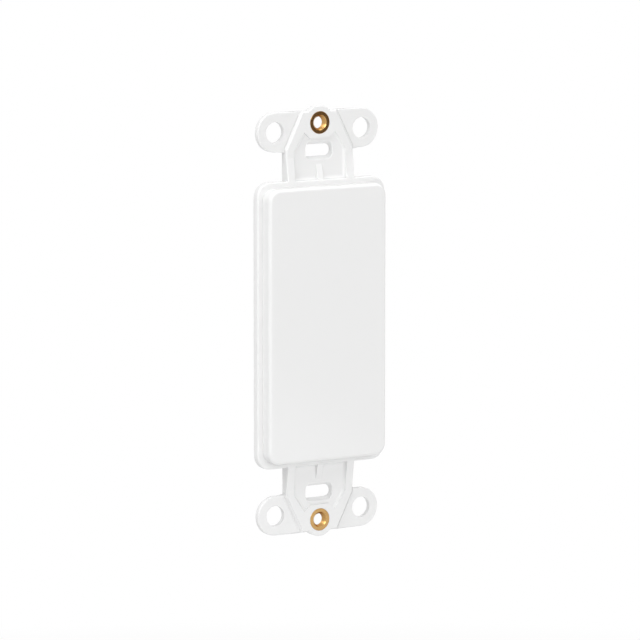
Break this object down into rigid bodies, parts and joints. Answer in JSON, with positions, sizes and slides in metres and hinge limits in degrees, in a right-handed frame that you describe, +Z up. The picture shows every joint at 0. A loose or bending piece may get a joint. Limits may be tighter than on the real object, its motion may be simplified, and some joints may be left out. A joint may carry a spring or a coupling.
{
  "type": "blank wall plate insert",
  "caption": "Upright rectangular blank insert for a wall plate: raised plain face on a flange, with an end strap, snap-off ears and a threaded brass insert at each end.",
  "frame": {"origin": "middle of the insert, on the plane of the backs of its four ears", "axes": "+Z up along the long side, +X to the right seen from the front, front towards -Y"},
  "size_m": [0.036, 0.006, 0.105],
  "materials": {
    "plate_plastic": "smooth white gloss",
    "insert_brass": "turned, slightly dulled"
  },
  "bodies": {
    "root": {"moulded_plate": "plate_plastic", "upper_threaded_insert": "insert_brass", "lower_threaded_insert": "insert_brass"}
  },
  "joints": []
}
